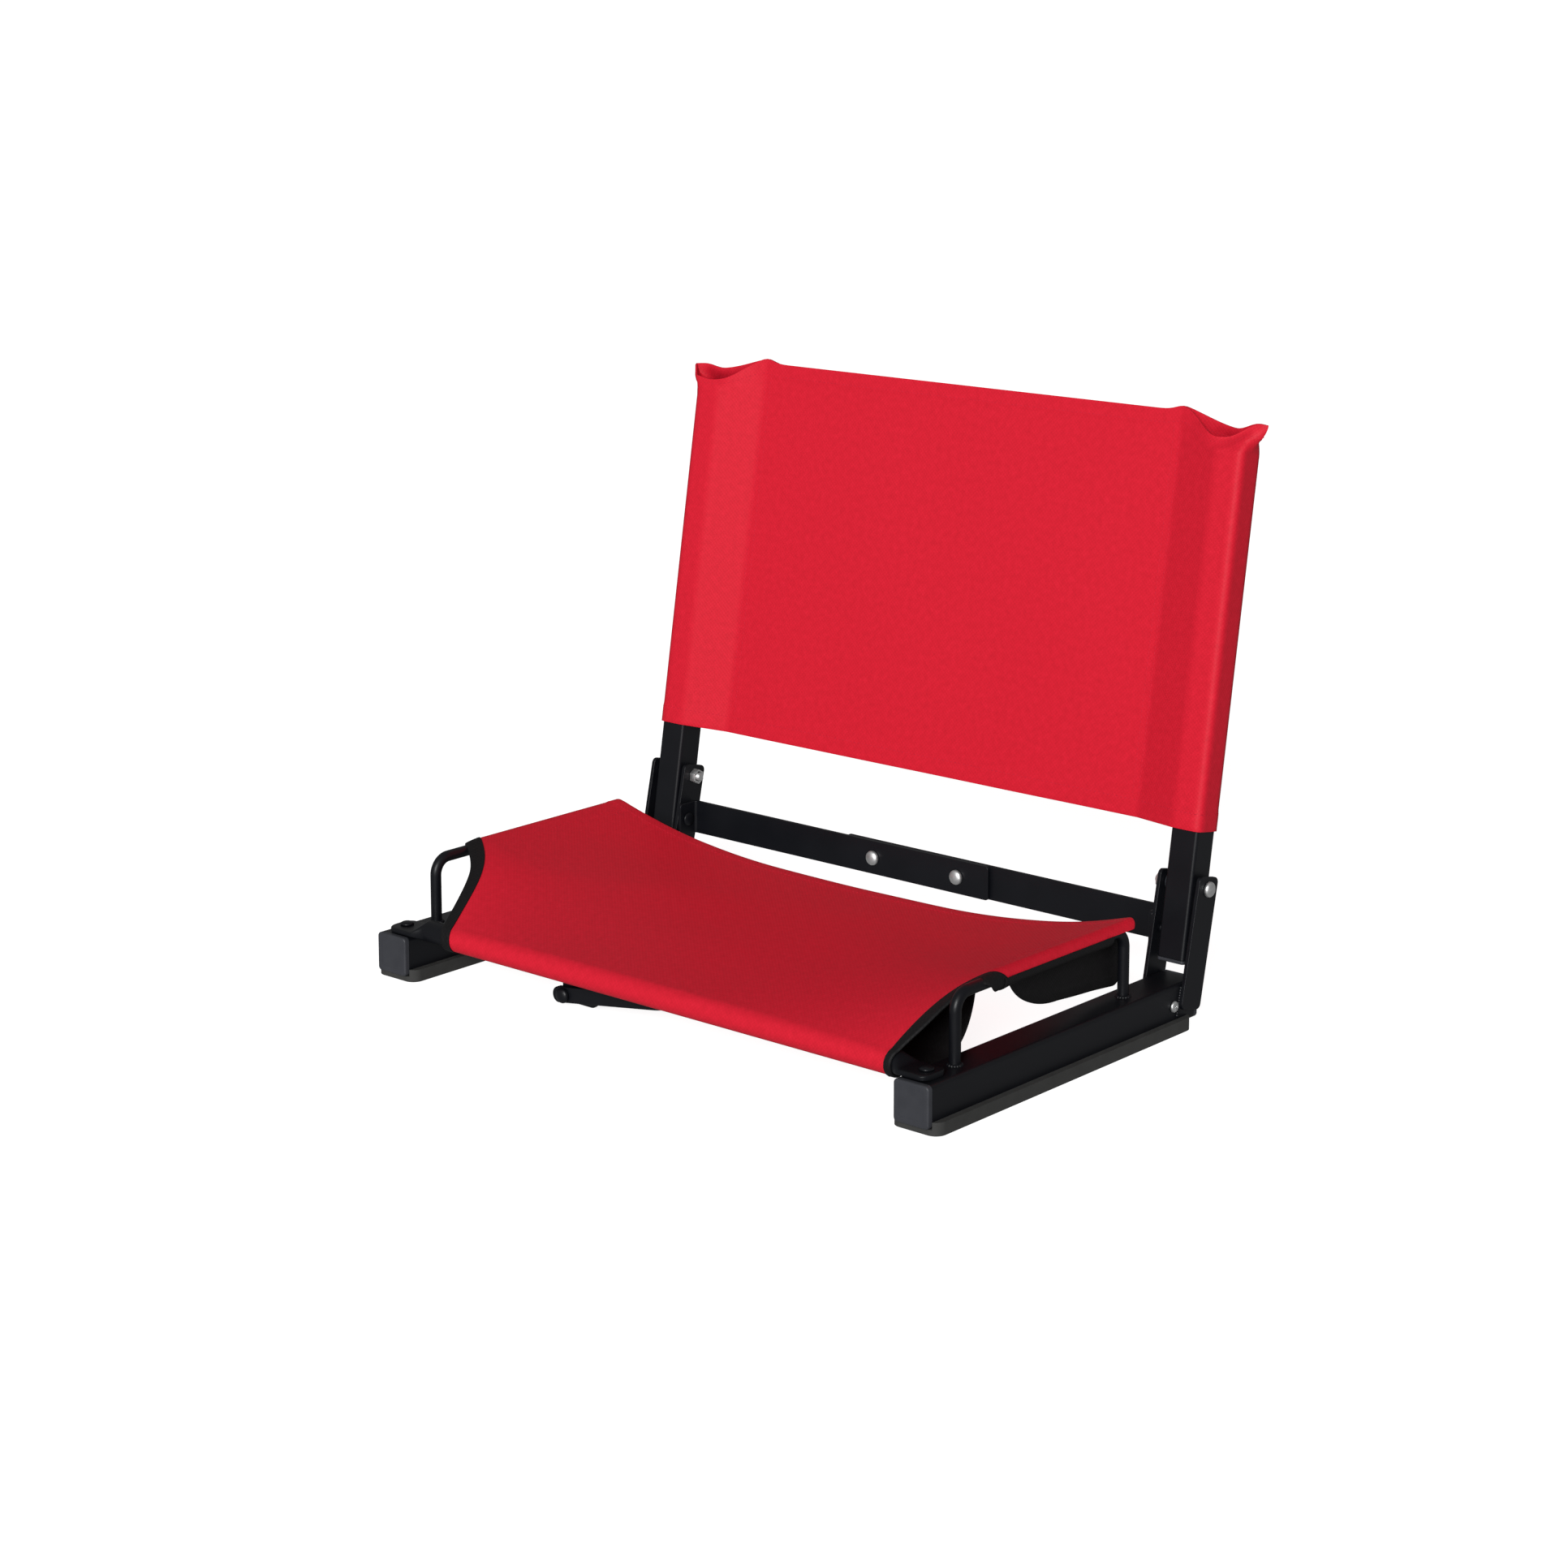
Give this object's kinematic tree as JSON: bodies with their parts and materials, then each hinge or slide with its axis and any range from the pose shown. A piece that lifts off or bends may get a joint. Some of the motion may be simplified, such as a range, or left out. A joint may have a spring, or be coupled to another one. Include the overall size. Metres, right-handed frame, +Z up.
{
  "type": "stadium chair",
  "caption": "Low folding stadium chair: sling seat on rod loops over tube foot rails, with a cloth back on pivoting uprights and a swinging bleacher hook.",
  "frame": {"origin": "middle of the chair's box, on the ground under the rubber runners", "axes": "+X to the right seen from the front, +Y to the back, +Z up"},
  "size_m": [0.5258, 0.3664, 0.4196],
  "materials": {
    "black_steel": "satin",
    "zinc": "bright zinc",
    "grey_plastic": "satin",
    "grey_rubber": "matt",
    "red_cloth": "woven polyester",
    "black_cloth": "woven polyester tape"
  },
  "bodies": {
    "base": {"rail_left": "black_steel", "rail_right": "black_steel", "rod_loop_left": "black_steel", "rod_loop_right": "black_steel", "crossbar_left": "black_steel", "crossbar_right": "black_steel", "flange_rivet_left": "black_steel", "flange_rivet_right": "black_steel", "hinge_plate_left_outer": "black_steel", "hinge_plate_right_outer": "black_steel", "hinge_plate_left_inner": "black_steel", "hinge_plate_right_inner": "black_steel", "front_bar": "black_steel", "hook_bracket": "black_steel", "hook_bolt": "black_steel", "front_bar_rivet_left": "black_steel", "front_bar_rivet_right": "black_steel", "plug_screw_left": "zinc", "plug_screw_right": "zinc", "crossbar_bolt_left": "zinc", "crossbar_bolt_right": "zinc", "crossbar_nut_left": "zinc", "crossbar_nut_right": "zinc", "pivot_bolt_left": "zinc", "pivot_bolt_right": "zinc", "pivot_nut_left": "zinc", "pivot_nut_right": "zinc", "hook_nut": "zinc", "front_cap_left": "grey_plastic", "front_cap_right": "grey_plastic", "rear_plug_left": "grey_plastic", "rear_plug_right": "grey_plastic", "pivot_bush_left_outer": "grey_plastic", "pivot_bush_right_outer": "grey_plastic", "pivot_bush_left_inner": "grey_plastic", "pivot_bush_right_inner": "grey_plastic", "runner_left": "grey_rubber", "runner_right": "grey_rubber", "seat_cloth": "red_cloth", "seat_binding_left": "black_cloth", "seat_binding_right": "black_cloth", "seat_flap_left": "black_cloth", "seat_flap_right": "black_cloth", "seat_underlay": "black_cloth"},
    "back": {"upright_left": "black_steel", "upright_right": "black_steel", "upright_top_plug_left": "grey_plastic", "upright_top_plug_right": "grey_plastic", "upright_bottom_plug_left": "grey_plastic", "upright_bottom_plug_right": "grey_plastic", "back_sleeve": "red_cloth"},
    "hook": {"bleacher_hook": "black_steel"}
  },
  "joints": [
    {"name": "back_fold", "type": "hinge", "parent": "base", "child": "back", "pos_m": [0, 0.12127, 0.095], "axis": [1, 0, 0], "range_deg": [0, 95]},
    {"name": "hook_swing", "type": "hinge", "parent": "base", "child": "hook", "pos_m": [-0.097, -0.14953, 0.0108], "axis": [0, 1, 0], "range_deg": [0, 98]}
  ]
}
